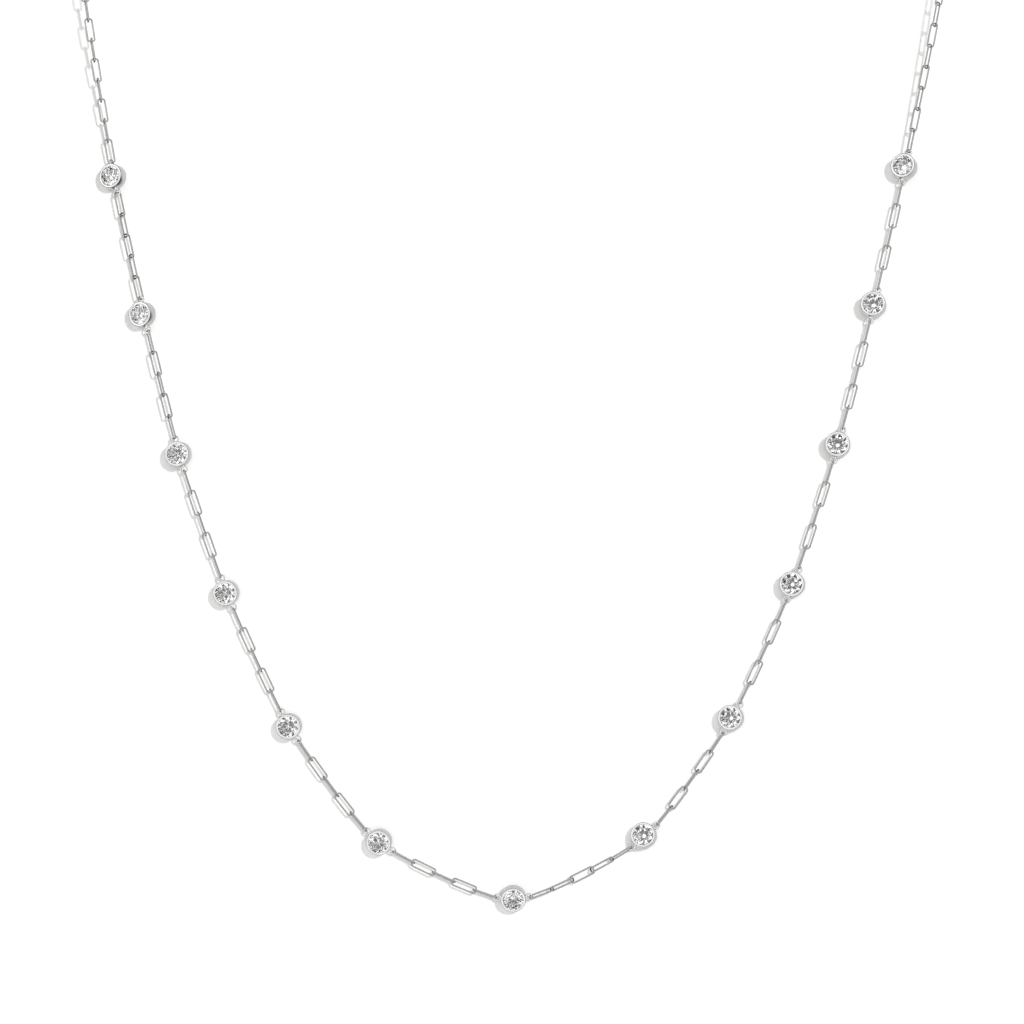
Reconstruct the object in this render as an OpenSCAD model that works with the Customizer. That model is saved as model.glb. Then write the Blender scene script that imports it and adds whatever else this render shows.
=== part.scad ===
// Station necklace: a fine paperclip chain with round bezel-set stones, closed at
// the nape by a spring ring. The front hangs upright, the sides lean back with the
// chest and the rest goes round the neck. X is to the wearer's left, Z is up, and
// the origin is the middle of the closure, where the necklace hangs.

/* [Chain] */
// Diameter of the chain's wire
wire_d = 0.22; // [0.20:0.01:0.26]
// Length of a link over its ends
link_l = 3.58; // [3.3:0.02:4.0]
// Width of a link over its sides
link_w = 1.18; // [1.1:0.02:1.4]
// Bend radius in a link's corners, to the middle of the wire
bend_r = 0.30; // [0.26:0.02:0.36]
// Free play between a link and what it hangs in
play = 0.12; // [0.10:0.01:0.18]
// Links between two stations
span_links = 5; // [4:1:6]
// Links from the last station to the closure, on each side
tail_links = 34; // [30:1:38]

/* [Setting] */
// Outer diameter of the bezel
bezel_d = 3.4; // [3.3:0.05:3.8]
// Height of the bezel from its back edge to the top of its rim
bezel_h = 1.70; // [1.7:0.05:2.1]
// How far the rim reaches over the stone
lip = 0.09; // [0.05:0.01:0.14]
// How far the seat reaches under the stone
ledge = 0.16; // [0.10:0.02:0.30]
// Outer diameter of a soldered loop
loop_d = 1.08; // [1.00:0.02:1.20]
// Wire diameter of a soldered loop
loop_wire_d = 0.22; // [0.18:0.01:0.26]
// How deep a loop is sunk into the solder at the wall
solder = 0.08; // [0.06:0.01:0.14]
// Drop of the loops below the top of the rim
loop_drop = 1.38; // [0.90:0.02:1.44]

/* [Stone] */
// Diameter of the stone at its girdle
stone_d = 2.9; // [2.7:0.05:2.95]
// Diameter of the table across its corners
table_d = 1.66; // [1.5:0.02:1.8]
// Height of the crown
crown_h = 0.43; // [0.38:0.01:0.50]
// Depth of the pavilion
pavilion_h = 1.24; // [1.15:0.01:1.30]
// Thickness of the girdle
girdle_h = 0.06; // [0.04:0.01:0.09]
// Share of the pavilion, from the girdle, that its halves reach down
halves = 0.78; // [0.70:0.01:0.85]
// Gap between the stone and its setting
seat_gap = 0.04; // [0.03:0.01:0.06]

/* [Closure] */
// Outer diameter of the spring ring
spring_d = 5.6; // [5.0:0.1:6.5]
// Tube diameter of the spring ring
spring_tube_d = 1.1; // [0.9:0.05:1.3]
// Outer diameter of the spring ring's own loop
eye_d = 1.4; // [1.3:0.05:1.6]
// Wire diameter of that loop
eye_wire_d = 0.32; // [0.28:0.02:0.36]
// Outer diameter of the end ring that the spring ring hooks
end_ring_d = 3.2; // [3.0:0.1:3.8]
// Wire diameter of the end ring
end_ring_wire_d = 0.42; // [0.36:0.02:0.46]
// Diameter of the thumb pin on the spring ring
thumb_d = 0.5; // [0.4:0.05:0.6]
// Height of the thumb pin over the tube
thumb_h = 0.6; // [0.4:0.05:0.9]

/* [Neck] */
// Rise of the necklace from the collar to the nape
neck_rise = 26; // [22:1:32]
// How far the nape leans, from upright to lying back
nape_lean = 20; // [0:5:40]
// How evenly the chain bends between two stations rather than at them
station_bend = 0.55; // [0.3:0.05:1.0]

/* [Hidden] */
$fn = 48;

// Where the front hangs: each station's place, the lean of its face towards the
// inside of the necklace, and the turn of its outer loop
X = 0;
BACK = 1;
Z = 2;
LEAN = 3;
LOOP_TURN = 4;
LOWEST = [0.20, 0, -0.11, -16, 0];
LEFT_STATIONS = [
    [-18.24, 0, 7.93, -12, 0],
    [-30.25, 0, 23.60, -8, 0],
    [-38.74, 0.2, 41.80, -10, 0],
    [-45.24, 1.5, 60.51, -12, 0],
    [-50.18, 4.6, 79.52, -25, 0],
    [-54.60, 9.0, 98.81, -22, 90],
];
RIGHT_STATIONS = [
    [17.89, 0, 8.33, 15, 0],
    [29.74, 0, 24.47, 13, 0],
    [38.07, 0.2, 42.67, 10, 0],
    [44.23, 1.5, 61.49, 7, 0],
    [49.31, 4.4, 80.66, 12, 0],
    [53.92, 8.4, 100.05, 22, 0],
];
// Turn of the first link of each span about the chain, and the step to the next
FIRST = 0;
STEP = 1;
LEFT_SPANS = [[100, 90], [104, 90], [90, 90], [90, 90], [112, 90], [37, 90], [15, 90]];
RIGHT_SPANS = [[112, -56], [98, 90], [90, 90], [90, 90], [90, 90], [90, 90], [58, 90]];
// The side that the stones face
VIEWER = [0, -1, 0];
// Where the chain leaves the front and goes round the neck, and on each side how
// far back that is and how much the chain leans back there
collar_x = 60.3;
collar_z = 132;
COLLAR_LEAN = 2;
LEFT_COLLAR = [-1, 19.5, 17.5];
RIGHT_COLLAR = [1, 13.5, 9];
// Places round the neck, in degrees from the collar, that guide the hidden stretch
NECK_GUIDES = [15, 30, 50, 70, 90, 110];
// Least and greatest depth tried for the hidden stretch
least_depth = 15;
greatest_depth = 90;
// Furthest stretch of the route, in guide points, that one link or setting can span
step_window = 0.6;

// Sizes that follow from the ones above
bezel_r = bezel_d / 2;
stone_r = stone_d / 2;
table_r = table_d / 2;
bore_r = stone_r + seat_gap;
lip_r = stone_r - lip;
ledge_r = stone_r - ledge;
rim_r = (bezel_r - lip_r) / 2;
crown_angle = atan2(crown_h, stone_r - table_r);
pavilion_angle = atan2(pavilion_h, stone_r);
rim_z = girdle_h / 2
    + (rim_r + seat_gap - (bezel_r - rim_r - stone_r) * sin(crown_angle)) / cos(crown_angle);
bezel_top = rim_z + rim_r;
bezel_back = bezel_top - bezel_h;
loop_r = (loop_d - loop_wire_d) / 2;
loop_x = bezel_r - solder + loop_d / 2;
loop_z = bezel_top - loop_drop;
hook = (wire_d + play) / 2;
link_pitch = link_l - 2 * wire_d - play;
station_reach = loop_x + loop_r - (loop_wire_d + wire_d) / 2 - play + hook;
spring_r = (spring_d - spring_tube_d) / 2;
eye_r = (eye_d - eye_wire_d) / 2;
eye_x = spring_d / 2 - solder + eye_d / 2;
end_ring_r = (end_ring_d - end_ring_wire_d) / 2;
end_ring_x = spring_r - (spring_tube_d + end_ring_wire_d) / 2 - play + end_ring_r;
left_reach = eye_x + eye_r - (eye_wire_d + wire_d) / 2 - play + hook;
right_reach = end_ring_x + end_ring_r - (end_ring_wire_d + wire_d) / 2 - play + hook;
closure_l = left_reach + right_reach;

function unit(v) = v / norm(v);
function reversed(list) = [for (i = [len(list) - 1:-1:0]) list[i]];
function square_to(v, d) = unit(v - (v * d) * d);

// A place of the hidden stretch, at an angle round the neck from the collar
function neck_place(collar, depth, angle) =
    let (leaning_rise = neck_rise * sin(angle) * cos(angle) ^ 2)
    [
        collar[X] * collar_x * cos(angle),
        collar[BACK] * cos(angle) ^ 2 + depth * sin(angle) ^ 2
            + leaning_rise * tan(collar[COLLAR_LEAN]),
        collar_z + neck_rise * sin(angle),
    ];

// One side of the route, outwards from the lowest station
function place_of(row) = [row[X], row[BACK], row[Z]];
function side_route(stations, collar, depth) = concat(
    [for (row = stations) place_of(row)],
    [neck_place(collar, depth, 0)],
    [for (angle = NECK_GUIDES) neck_place(collar, depth, angle)]
);

// The whole route seen from one side: the other side comes first, backwards
function whole_route(side, depth) =
    let (
        left = side_route(LEFT_STATIONS, LEFT_COLLAR, depth),
        right = side_route(RIGHT_STATIONS, RIGHT_COLLAR, depth)
    )
    concat(
        reversed(side > 0 ? left : right),
        [place_of(LOWEST)],
        side > 0 ? right : left
    );
side_stations = len(LEFT_STATIONS);
lowest_i = side_stations + 1 + len(NECK_GUIDES);

// The route's direction at each of its points, short where the chain bends firmly
function route_tangents(route) = [
    for (i = [0:len(route) - 1])
        let (
            before = route[max(i - 1, 0)],
            after = route[min(i + 1, len(route) - 1)],
            firm = abs(i - lowest_i) <= side_stations ? station_bend : 1
        )
        (after - before) / 2 * firm
];

// A point of the smooth curve through the route
function on_route(route, tangents, u) =
    let (
        i = min(floor(u), len(route) - 2),
        t = u - i
    )
    (2 * t ^ 3 - 3 * t ^ 2 + 1) * route[i] + (t ^ 3 - 2 * t ^ 2 + t) * tangents[i]
        + (3 * t ^ 2 - 2 * t ^ 3) * route[i + 1] + (t ^ 3 - t ^ 2) * tangents[i + 1];

// How far along the route the curve is a given length away from a point
function reach(route, tangents, from, length, low, high, tries = 24) =
    let (middle = (low + high) / 2)
    tries == 0 ? middle
        : norm(on_route(route, tangents, middle) - from) < length
            ? reach(route, tangents, from, length, middle, high, tries - 1)
            : reach(route, tangents, from, length, low, middle, tries - 1);

// How far along the route the lowest setting's pivots lie from its middle
function lowest_window(route, tangents, low = 0, high = 0.5, tries = 24) =
    let (
        middle = (low + high) / 2,
        across = on_route(route, tangents, lowest_i + middle)
            - on_route(route, tangents, lowest_i - middle)
    )
    tries == 0 ? middle
        : norm(across) < 2 * station_reach
            ? lowest_window(route, tangents, middle, high, tries - 1)
            : lowest_window(route, tangents, low, middle, tries - 1);

// Lengths between the pivots of one side, outwards from the lowest station
side_steps = concat(
    [
        for (s = [1:side_stations], w = [0:span_links])
            w < span_links ? link_pitch : 2 * station_reach
    ],
    [for (i = [1:tail_links]) link_pitch]
);

// The pivots of one side: rigid links and settings laid along the route
function side_pivots(side, depth) =
    let (
        route = whole_route(side, depth),
        tangents = route_tangents(route),
        last = len(route) - 1
    )
    [
        for (
            i = 0,
            u = lowest_i + lowest_window(route, tangents),
            p = on_route(route, tangents, u);
            i <= len(side_steps);
            u = i < len(side_steps)
                ? reach(route, tangents, p, side_steps[i], u, min(u + step_window, last)) : u,
            p = on_route(route, tangents, u),
            i = i + 1
        ) p
    ];

// The depth at which both ends are as far apart as the closure is long
function solve_depth(low, high, tries = 16) =
    let (
        depth = (low + high) / 2,
        right = side_pivots(1, depth),
        left = side_pivots(-1, depth),
        gap = norm(right[len(right) - 1] - left[len(left) - 1])
    )
    tries == 0 ? depth
        : gap < closure_l ? solve_depth(depth, high, tries - 1) : solve_depth(low, depth, tries - 1);

neck_depth = solve_depth(least_depth, greatest_depth);
right_pivots = side_pivots(1, neck_depth);
left_pivots = side_pivots(-1, neck_depth);
side_pieces = len(side_steps);
left_end = left_pivots[side_pieces];
right_end = right_pivots[side_pieces];
closure_along = unit(right_end - left_end);
nape = left_end + closure_along * closure_l / 2;

// The direction of each piece of a side, and its face: the face starts towards the
// viewer and turns no more than the chain makes it
function directions(pivots) = [for (i = [0:side_pieces - 1]) unit(pivots[i + 1] - pivots[i])];
function faces(along) = [
    for (
        i = 0,
        face = VIEWER;
        i < side_pieces;
        i = i + 1,
        face = i < side_pieces ? square_to(face, along[i]) : face
    ) face
];

// Puts a piece that lies along X, with its face up, between two pivots
module laid(from, to, face, turn = 0) {
    along = unit(to - from);
    up = square_to(face, along);
    across = cross(up, along);
    middle = (from + to) / 2 - nape;
    multmatrix([
        [along.x, across.x, up.x, middle.x],
        [along.y, across.y, up.y, middle.y],
        [along.z, across.z, up.z, middle.z],
        [0, 0, 0, 1],
    ])
        rotate([turn, 0, 0])
            children();
}

module wire_ring(mean_r, wire) {
    rotate_extrude()
        translate([mean_r, 0])
            circle(d = wire);
}

module link_corner() {
    rotate_extrude(angle = 90)
        translate([bend_r, 0])
            circle(d = wire_d);
}

module link() {
    corner_x = (link_l - wire_d) / 2 - bend_r;
    corner_y = (link_w - wire_d) / 2 - bend_r;
    for (flip_x = [0, 1], flip_y = [0, 1])
        mirror([flip_x, 0, 0])
            mirror([0, flip_y, 0])
                translate([corner_x, corner_y, 0])
                    link_corner();
    for (side = [-1, 1]) {
        translate([0, side * (corner_y + bend_r), 0])
            rotate([0, 90, 0])
                cylinder(d = wire_d, h = 2 * corner_x, center = true);
        translate([side * (corner_x + bend_r), 0, 0])
            rotate([90, 0, 0])
                cylinder(d = wire_d, h = 2 * corner_y, center = true);
    }
}

module chain_side(pivots, spans) {
    along = directions(pivots);
    face = faces(along);
    cycle = span_links + 1;
    for (i = [0:side_pieces - 1]) {
        span = min(floor(i / cycle), side_stations);
        place = i - span * cycle;
        is_station = span < side_stations && place == span_links;
        if (!is_station)
            laid(pivots[i], pivots[i + 1], face[i], spans[span][FIRST] + place * spans[span][STEP])
                link();
    }
}

module chain_left() {
    color("gainsboro")
        chain_side(left_pivots, LEFT_SPANS);
}

module chain_right() {
    color("gainsboro")
        chain_side(right_pivots, RIGHT_SPANS);
}

module bezel_section() {
    back_r = (bezel_r - bore_r) / 2;
    translate([bore_r, bezel_back + back_r])
        square([bezel_r - bore_r, bezel_h - back_r - rim_r]);
    translate([bezel_r - back_r, bezel_back + back_r])
        circle(r = back_r);
    translate([bezel_r - rim_r, rim_z])
        circle(r = rim_r);
    seat_z = -girdle_h / 2 + (bore_r - stone_r) * tan(pavilion_angle)
        - seat_gap / cos(pavilion_angle);
    polygon([
        [bore_r + back_r, seat_z],
        [bore_r, seat_z],
        [ledge_r, seat_z - (bore_r - ledge_r) * tan(pavilion_angle)],
        [ledge_r, bezel_back + 2 * back_r],
        [bore_r, bezel_back + back_r],
        [bore_r + back_r, bezel_back + back_r],
    ]);
}

module setting(outer_turn) {
    rotate_extrude()
        bezel_section();
    translate([loop_x, 0, loop_z])
        rotate([outer_turn, 0, 0])
            wire_ring(loop_r, loop_wire_d);
    translate([-loop_x, 0, loop_z])
        wire_ring(loop_r, loop_wire_d);
}

// A round brilliant: eight-sided table, stars, kites and halves over a girdle of
// sixteen sides, and eight mains under it
module brilliant() {
    mains = 8;
    half_step = 180 / mains;
    girdle_top = girdle_h / 2;
    star_r = (table_r * cos(half_step) + stone_r) / 2;
    star_z = girdle_top + (stone_r - star_r * cos(half_step)) * tan(crown_angle);
    half_r = stone_r * (1 - halves);
    culet_z = -girdle_top - pavilion_h;
    half_z = culet_z + half_r * cos(half_step) * tan(pavilion_angle);
    function ring(count, r, z, turn) = [
        for (i = [0:count - 1])
            let (a = turn + i * 360 / count)
            [r * cos(a), r * sin(a), z]
    ];
    points = concat(
        ring(mains, table_r, girdle_top + crown_h, 0),
        ring(mains, star_r, star_z, half_step),
        ring(2 * mains, stone_r, girdle_top, 0),
        ring(2 * mains, stone_r, -girdle_top, 0),
        ring(mains, half_r, half_z, half_step),
        [[0, 0, culet_z]]
    );
    table_i = 0;
    star_i = mains;
    top_i = 2 * mains;
    low_i = 4 * mains;
    half_i = 6 * mains;
    culet_i = 7 * mains;
    facets = [
        [for (i = [mains - 1:-1:0]) table_i + i],
        for (i = [0:mains - 1])
            let (
                next = (i + 1) % mains,
                before = (i + mains - 1) % mains,
                g = 2 * i,
                g1 = 2 * i + 1,
                g2 = (2 * i + 2) % (2 * mains)
            )
            each [
                [table_i + i, table_i + next, star_i + i],
                [table_i + i, star_i + i, top_i + g, star_i + before],
                [star_i + i, top_i + g1, top_i + g],
                [star_i + i, top_i + g2, top_i + g1],
                [top_i + g, top_i + g1, low_i + g1, low_i + g],
                [top_i + g1, top_i + g2, low_i + g2, low_i + g1],
                [half_i + i, low_i + g, low_i + g1],
                [half_i + i, low_i + g1, low_i + g2],
                [culet_i, half_i + before, low_i + g, half_i + i],
            ]
    ];
    polyhedron(points = points, faces = facets);
}

// Stations are counted from the left end of the front to the right end
function from_lowest(number) = number - 1 - side_stations;
function station_row(number) =
    let (
        away = from_lowest(number),
        table = away < 0 ? LEFT_STATIONS : RIGHT_STATIONS
    )
    away == 0 ? LOWEST : table[abs(away) - 1];

module at_station(number) {
    away = from_lowest(number);
    side = away < 0 ? -1 : 1;
    pivots = away < 0 ? left_pivots : right_pivots;
    piece = abs(away) * (span_links + 1) - 1;
    from = away == 0 ? left_pivots[0] : pivots[piece];
    to = away == 0 ? right_pivots[0] : pivots[piece + 1];
    laid(from, to, VIEWER, -side * station_row(number)[LEAN])
        translate([0, 0, -loop_z])
            children();
}

module station_setting(number) {
    color("silver")
        at_station(number)
            setting(station_row(number)[LOOP_TURN]);
}

module station_stone(number) {
    color("aliceblue")
        at_station(number)
            brilliant();
}

module at_closure() {
    laid(left_end, right_end, [0, cos(nape_lean), sin(nape_lean)])
        children();
}

module spring_ring() {
    color("silver")
        at_closure()
            translate([left_reach - closure_l / 2, 0, 0]) {
                wire_ring(spring_r, spring_tube_d);
                translate([-eye_x, 0, 0])
                    wire_ring(eye_r, eye_wire_d);
                translate([0, spring_r, 0])
                    cylinder(d = thumb_d, h = spring_tube_d / 2 + thumb_h);
            }
}

module end_ring() {
    color("silver")
        at_closure()
            translate([left_reach - closure_l / 2 + end_ring_x, 0, 0])
                rotate([90, 0, 0])
                    wire_ring(end_ring_r, end_ring_wire_d);
}

for (number = [1:2 * side_stations + 1]) {
    name = str(number < 10 ? "0" : "", number);
    station_setting(number);
    station_stone(number);
}
chain_left();
chain_right();
spring_ring();
end_ring();
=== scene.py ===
"""The looks of a station necklace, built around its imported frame.

Round bezel-set stones hang at even steps in a fine paperclip chain, which closes at
the nape with a spring ring. Everything is in metres, in the frame's own axes: X to
the photo's right, Z up, and the stones face -Y.
"""
import logging
import math
from dataclasses import dataclass
from enum import Enum
from typing import Callable, Iterable, Sequence

import bpy
import numpy as np
from mathutils import Matrix, Vector


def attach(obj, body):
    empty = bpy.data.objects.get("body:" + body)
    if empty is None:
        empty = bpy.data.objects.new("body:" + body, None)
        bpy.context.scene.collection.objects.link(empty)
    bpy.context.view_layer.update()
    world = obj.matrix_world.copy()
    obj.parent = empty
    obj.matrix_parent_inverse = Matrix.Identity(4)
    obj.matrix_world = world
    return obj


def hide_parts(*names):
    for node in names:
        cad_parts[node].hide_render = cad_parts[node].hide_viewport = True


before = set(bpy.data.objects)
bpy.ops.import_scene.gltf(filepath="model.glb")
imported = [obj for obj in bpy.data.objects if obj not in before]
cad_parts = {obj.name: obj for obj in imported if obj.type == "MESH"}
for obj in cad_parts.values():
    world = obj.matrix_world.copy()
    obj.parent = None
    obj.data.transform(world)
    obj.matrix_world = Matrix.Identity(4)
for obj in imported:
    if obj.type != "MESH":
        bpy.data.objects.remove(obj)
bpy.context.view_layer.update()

log = logging.getLogger("station_necklace")

Colour = tuple[float, float, float, float]
Facet = tuple[Vector, Vector, Vector]
Tones = tuple[tuple[float, float], ...]

MM = 0.001
BODY = "root"
STATIONS = 13
LOWEST = 7  # the station at the foot of the curve
CROSSED = 1  # the station whose outer loop stands across its inner one
SAME_POINT = 1e-4 * MM  # points closer than this are merged
CUT_SLACK = 1e-5 * MM  # points closer than this to a cut lie on it
ORIGIN = (0, 0, 0)
UPWARDS = (0, 0, 1)
QUARTER = math.pi / 2


class Slot(Enum):
    """The record's material slots."""

    METAL = "white_gold"
    STONE = "diamond"


# ---------------------------------------------------------------- places


@dataclass(frozen=True)
class Place:
    """Where a piece lies: its middle and its own directions.

    Args:
        middle: The piece's middle, in metres in the row frame.
        along: The piece's X direction.
        face: The piece's Z direction.
    """

    middle: Vector
    along: Vector
    face: Vector

    def matrix(self) -> Matrix:
        """Works out how a piece modelled at the origin gets here.

        Returns:
            The matrix that moves it.
        """
        face = self.face.normalized()
        along = (self.along - self.along.dot(face) * face).normalized()
        across = face.cross(along)
        turn = Matrix((along, across, face)).transposed().to_4x4()
        return Matrix.Translation(self.middle) @ turn


class Solid:
    """The solid of a CAD node, or one loose solid of it, read for its place.

    Args:
        points: The solid's points, one row each.
        triangles: Indices of the corners of its triangles.
    """

    def __init__(self, points: np.ndarray, triangles: np.ndarray) -> None:
        """Keeps the mesh and works out its middle and its main directions."""
        self.points = points
        self.triangles = triangles
        self.middle, self.directions = self._measure()

    def _measure(self) -> tuple[Vector, list[Vector]]:
        """Measures the solid by its volume.

        Returns:
            Its centre of volume, and its main directions, the longest first.
        """
        base = self.points.mean(axis=0)
        a, b, c = (self.points[self.triangles[:, k]] - base for k in range(3))
        # Each triangle closes a tetrahedron with the base, and 6, 4 and 20 are the
        # divisors of a tetrahedron's volume, centre and spread.
        volume = np.einsum("ij,ij->i", a, np.cross(b, c)) / 6
        total = volume.sum()
        centre = ((a + b + c) * volume[:, None]).sum(axis=0) / (4 * total)
        spread = np.zeros((3, 3))
        for v in (a + b + c, a, b, c):
            spread += np.einsum("i,ij,ik->jk", volume, v, v) / 20
        spread = spread / total - np.outer(centre, centre)
        _, axes = np.linalg.eigh(spread)
        return Vector(base + centre), [Vector(axes[:, k]) for k in (2, 1, 0)]

    @classmethod
    def of_node(cls, name: str) -> "Solid":
        """Reads a CAD node, with its doubled points merged.

        Args:
            name: The node's name.

        Returns:
            The node's mesh as one solid.
        """
        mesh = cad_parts[name].data
        points = np.zeros(len(mesh.vertices) * 3)
        mesh.vertices.foreach_get("co", points)
        corners = np.zeros(len(mesh.polygons) * 3, dtype=np.int64)
        mesh.polygons.foreach_get("vertices", corners)
        keys = np.round(points.reshape(-1, 3) / SAME_POINT).astype(np.int64)
        _, first, merged = np.unique(keys, axis=0, return_index=True, return_inverse=True)
        return cls(points.reshape(-1, 3)[first], merged.reshape(-1)[corners].reshape(-1, 3))

    def loose(self) -> list["Solid"]:
        """Parts the loose solids by following the triangles from point to point.

        Returns:
            Each loose solid.
        """
        label = np.arange(len(self.points))
        while True:
            lowest = label[self.triangles].min(axis=1)
            new = label.copy()
            for k in range(3):
                np.minimum.at(new, self.triangles[:, k], lowest)
            new = np.minimum(new, new[new])
            if (new == label).all():
                break
            label = new
        found = []
        for number in np.unique(label):
            mine = np.flatnonzero(label == number)
            renumber = np.full(len(label), -1)
            renumber[mine] = np.arange(len(mine))
            own = self.triangles[label[self.triangles[:, 0]] == number]
            found.append(Solid(self.points[mine], renumber[own]))
        return found


# ---------------------------------------------------------------- modelling


class Bench:
    """A mesh at work in edit mode, from its primitive to the finished piece.

    Args:
        name: The new object's name.
    """

    def __init__(self, name: str) -> None:
        """Remembers the name that the piece gets."""
        self.name = name

    @staticmethod
    def deselect() -> None:
        """Leaves edit mode and selects nothing."""
        if bpy.context.mode != "OBJECT":
            bpy.ops.object.mode_set(mode="OBJECT")
        bpy.ops.object.select_all(action="DESELECT")

    def _edit(self) -> None:
        """Fixes the new primitive where it lies, names it and opens it in edit mode."""
        bpy.ops.object.transform_apply(location=True, rotation=True, scale=True)
        made = bpy.context.active_object
        made.name = made.data.name = self.name
        bpy.ops.object.mode_set(mode="EDIT")

    def ring(
        self, radius: float, sides: int, middle: Sequence[float], turn: Sequence[float]
    ) -> None:
        """Starts with a bare ring of edges, left selected.

        Args:
            radius: The ring's radius.
            sides: How many sides it has.
            middle: Its middle.
            turn: Its turn about X, Y and Z, in radians, from lying flat.
        """
        self.deselect()
        bpy.ops.mesh.primitive_circle_add(
            vertices=sides, radius=radius, location=middle, rotation=turn
        )
        self._edit()
        bpy.ops.mesh.select_all(action="SELECT")

    def cylinder(self, radius: float, sides: int, low: float, high: float) -> None:
        """Starts with an upright cylinder with both ends closed.

        Args:
            radius: Its radius.
            sides: How many sides it has.
            low: Height of its lower end.
            high: Height of its upper end.
        """
        self.deselect()
        bpy.ops.mesh.primitive_cylinder_add(
            vertices=sides, radius=radius, depth=high - low, location=(0, 0, (low + high) / 2)
        )
        self._edit()

    @staticmethod
    def draw(way: Sequence[float]) -> None:
        """Extrudes what is selected straight along a way."""
        bpy.ops.mesh.extrude_region_move(TRANSFORM_OT_translate={"value": tuple(way)})

    @staticmethod
    def bend(centre: Sequence[float], axis: Sequence[float], degrees: float, steps: int) -> None:
        """Spins what is selected about an axis.

        Args:
            centre: A point of the axis.
            axis: The axis's direction.
            degrees: How far it turns.
            steps: How many steps it takes.
        """
        bpy.ops.mesh.spin(
            steps=steps, angle=-math.radians(degrees), center=tuple(centre), axis=tuple(axis)
        )

    @staticmethod
    def widen(factor: float) -> None:
        """Scales what is selected about the Z axis."""
        bpy.ops.transform.resize(value=(factor, factor, 1), center_override=ORIGIN)

    def turn_profile(self, rows: Sequence[tuple[float, float]], sides: int) -> None:
        """Turns a closed profile on the lathe, ring after ring.

        Args:
            rows: Radius and height of each ring; the last joins the first.
            sides: How many sides each ring has.
        """
        radius, height = rows[0]
        self.ring(radius, sides, (0, 0, height), ORIGIN)
        for new_radius, new_height in [*rows[1:], rows[0]]:
            self.draw((0, 0, new_height - height))
            self.widen(new_radius / radius)
            radius, height = new_radius, new_height
        self.join_ends()

    @staticmethod
    def cut(point: Sequence[float], normal: Sequence[float]) -> None:
        """Cuts away all that lies beyond a plane and closes the cut."""
        bpy.ops.mesh.select_all(action="SELECT")
        bpy.ops.mesh.bisect(
            plane_co=tuple(point),
            plane_no=tuple(normal),
            use_fill=True,
            clear_outer=True,
            threshold=CUT_SLACK,
        )

    @staticmethod
    def join_ends() -> None:
        """Merges the points where the last ring meets the first."""
        bpy.ops.mesh.select_all(action="SELECT")
        bpy.ops.mesh.remove_doubles(threshold=SAME_POINT)

    @staticmethod
    def close_ends() -> None:
        """Closes each open end with a face."""
        bpy.ops.mesh.select_all(action="DESELECT")
        bpy.ops.mesh.select_mode(type="EDGE")
        bpy.ops.mesh.select_non_manifold()
        bpy.ops.mesh.edge_face_add()

    def finish(self, smooth_angle: float | None = 40) -> bpy.types.Object:
        """Leaves edit mode with the faces outwards.

        Args:
            smooth_angle: Edges flatter than this many degrees are smooth; none if None.

        Returns:
            The finished object.
        """
        bpy.ops.mesh.select_all(action="SELECT")
        bpy.ops.mesh.normals_make_consistent(inside=False)
        bpy.ops.object.mode_set(mode="OBJECT")
        made = bpy.context.active_object
        if smooth_angle is None:
            bpy.ops.object.shade_flat()
        else:
            bpy.ops.object.shade_smooth_by_angle(angle=math.radians(smooth_angle))
        made.name = made.data.name = self.name
        return made


def weld(first: bpy.types.Object, second: bpy.types.Object) -> None:
    """Joins a second solid to the first as one skin, and removes it.

    Args:
        first: The solid that stays.
        second: The solid that is soldered to it.
    """
    Bench.deselect()
    first.select_set(True)
    bpy.context.view_layer.objects.active = first
    union = first.modifiers.new("solder", "BOOLEAN")
    union.operation = "UNION"
    union.solver = "EXACT"
    union.object = second
    bpy.ops.object.modifier_apply(modifier=union.name)
    bpy.data.objects.remove(second)


def set_out(pattern: bpy.types.Object, places: Iterable[Place], name: str) -> bpy.types.Object:
    """Copies one modelled piece to each place and joins the copies.

    Args:
        pattern: The piece, modelled at the origin. It stays.
        places: Where the copies go.
        name: The joined object's name.

    Returns:
        The joined copies, at the origin with their places in their mesh.
    """
    Bench.deselect()
    copies = []
    for place in places:
        copy = bpy.data.objects.new(name, pattern.data.copy())
        copy.data.transform(place.matrix())
        bpy.context.scene.collection.objects.link(copy)
        copy.select_set(True)
        copies.append(copy)
    joined = copies[0]
    bpy.context.view_layer.objects.active = joined
    if len(copies) > 1:
        bpy.ops.object.join()
    joined.name = joined.data.name = name
    joined.select_set(False)
    return joined


# ---------------------------------------------------------------- finishes


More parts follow.
